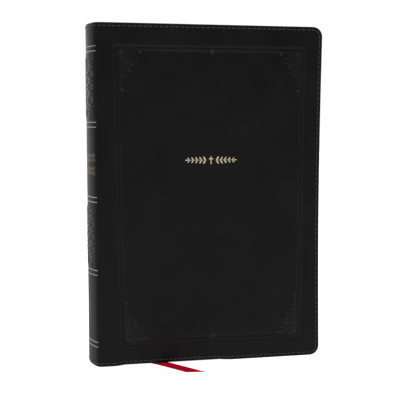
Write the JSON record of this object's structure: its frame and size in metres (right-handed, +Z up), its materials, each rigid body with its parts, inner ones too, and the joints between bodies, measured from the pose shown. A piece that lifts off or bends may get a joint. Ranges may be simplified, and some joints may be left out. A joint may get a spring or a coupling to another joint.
{
  "type": "bible",
  "caption": "Thick book with a limp dark leather-look cover, rounded spine, sewn sections of thin pages that open flat, and a red ribbon marker laid out under its tail",
  "frame": {"origin": "centre of the closed book's footprint, on the surface it stands on", "axes": "+Z runs up the height of the book, -X is the spine and +X the fore edge, -Y the front cover and +Y the back cover"},
  "size_m": [0.168, 0.0643, 0.24],
  "materials": {
    "leathersoft": "satin",
    "card": "matte",
    "endpaper": "matte",
    "paper": "matte",
    "mull": "matte",
    "thread": "matte",
    "band": "satin",
    "ribbon": "satin"
  },
  "bodies": {
    "back_half": {"section_back_1": "paper", "section_back_2": "paper", "section_back_3": "paper", "section_back_4": "paper", "section_back_5": "paper", "section_back_6": "paper", "sewing_thread_back_1": "thread", "sewing_thread_back_2": "thread", "sewing_thread_back_3": "thread", "sewing_thread_back_4": "thread", "sewing_thread_back_5": "thread", "spine_skin_back": "leathersoft", "spine_lining_back": "card", "mull_back": "mull", "headband_back": "band", "tailband_back": "band", "ribbon": "ribbon"},
    "front_half": {"section_front_1": "paper", "section_front_2": "paper", "section_front_3": "paper", "section_front_4": "paper", "section_front_5": "paper", "section_front_6": "paper", "sewing_thread_front_1": "thread", "sewing_thread_front_2": "thread", "sewing_thread_front_3": "thread", "sewing_thread_front_4": "thread", "sewing_thread_front_5": "thread", "spine_skin_front": "leathersoft", "spine_lining_front": "card", "mull_front": "mull", "headband_front": "band", "tailband_front": "band"},
    "front_cover": {"front_cover_skin": "leathersoft", "front_cover_card": "card", "front_pastedown": "endpaper"},
    "back_cover": {"back_cover_skin": "leathersoft", "back_cover_card": "card", "back_pastedown": "endpaper"},
    "front_flyleaf": {"front_flyleaf": "endpaper"},
    "back_flyleaf": {"back_flyleaf": "endpaper"},
    "leaf_1": {"leaf_1": "paper"},
    "leaf_2": {"leaf_2": "paper"},
    "leaf_3": {"leaf_3": "paper"}
  },
  "joints": [
    {"name": "middle_opening", "type": "hinge", "parent": "back_half", "child": "front_half", "pos_m": [-0.08415, 0, 0.12], "axis": [0, 0, -1], "range_deg": [0, 180]},
    {"name": "front_cover_hinge", "type": "hinge", "parent": "front_half", "child": "front_cover", "pos_m": [-0.07608, -0.01915, 0.12], "axis": [0, 0, -1], "range_deg": [0, 90]},
    {"name": "back_cover_hinge", "type": "hinge", "parent": "back_half", "child": "back_cover", "pos_m": [-0.07608, 0.01915, 0.12], "axis": [0, 0, 1], "range_deg": [0, 90]},
    {"name": "front_flyleaf_turn", "type": "hinge", "parent": "front_half", "child": "front_flyleaf", "pos_m": [-0.07508, -0.0158, 0.12], "axis": [0, 0, -1], "range_deg": [0, 45]},
    {"name": "back_flyleaf_turn", "type": "hinge", "parent": "back_half", "child": "back_flyleaf", "pos_m": [-0.07508, 0.0158, 0.12], "axis": [0, 0, 1], "range_deg": [0, 45]},
    {"name": "leaf_1_turn", "type": "hinge", "parent": "back_half", "child": "leaf_1", "pos_m": [-0.08415, 0, 0.12], "axis": [0, 0, -1], "range_deg": [0, 135]},
    {"name": "leaf_2_turn", "type": "hinge", "parent": "back_half", "child": "leaf_2", "pos_m": [-0.08415, 0, 0.12], "axis": [0, 0, -1], "range_deg": [0, 90]},
    {"name": "leaf_3_turn", "type": "hinge", "parent": "back_half", "child": "leaf_3", "pos_m": [-0.08415, 0, 0.12], "axis": [0, 0, -1], "range_deg": [0, 45]}
  ],
  "couplings": [
    {"joint": "front_flyleaf_turn", "follows": "front_cover_hinge", "ratio": 0.5},
    {"joint": "back_flyleaf_turn", "follows": "back_cover_hinge", "ratio": 0.5},
    {"joint": "leaf_1_turn", "follows": "middle_opening", "ratio": 0.75},
    {"joint": "leaf_2_turn", "follows": "middle_opening", "ratio": 0.5},
    {"joint": "leaf_3_turn", "follows": "middle_opening", "ratio": 0.25}
  ]
}
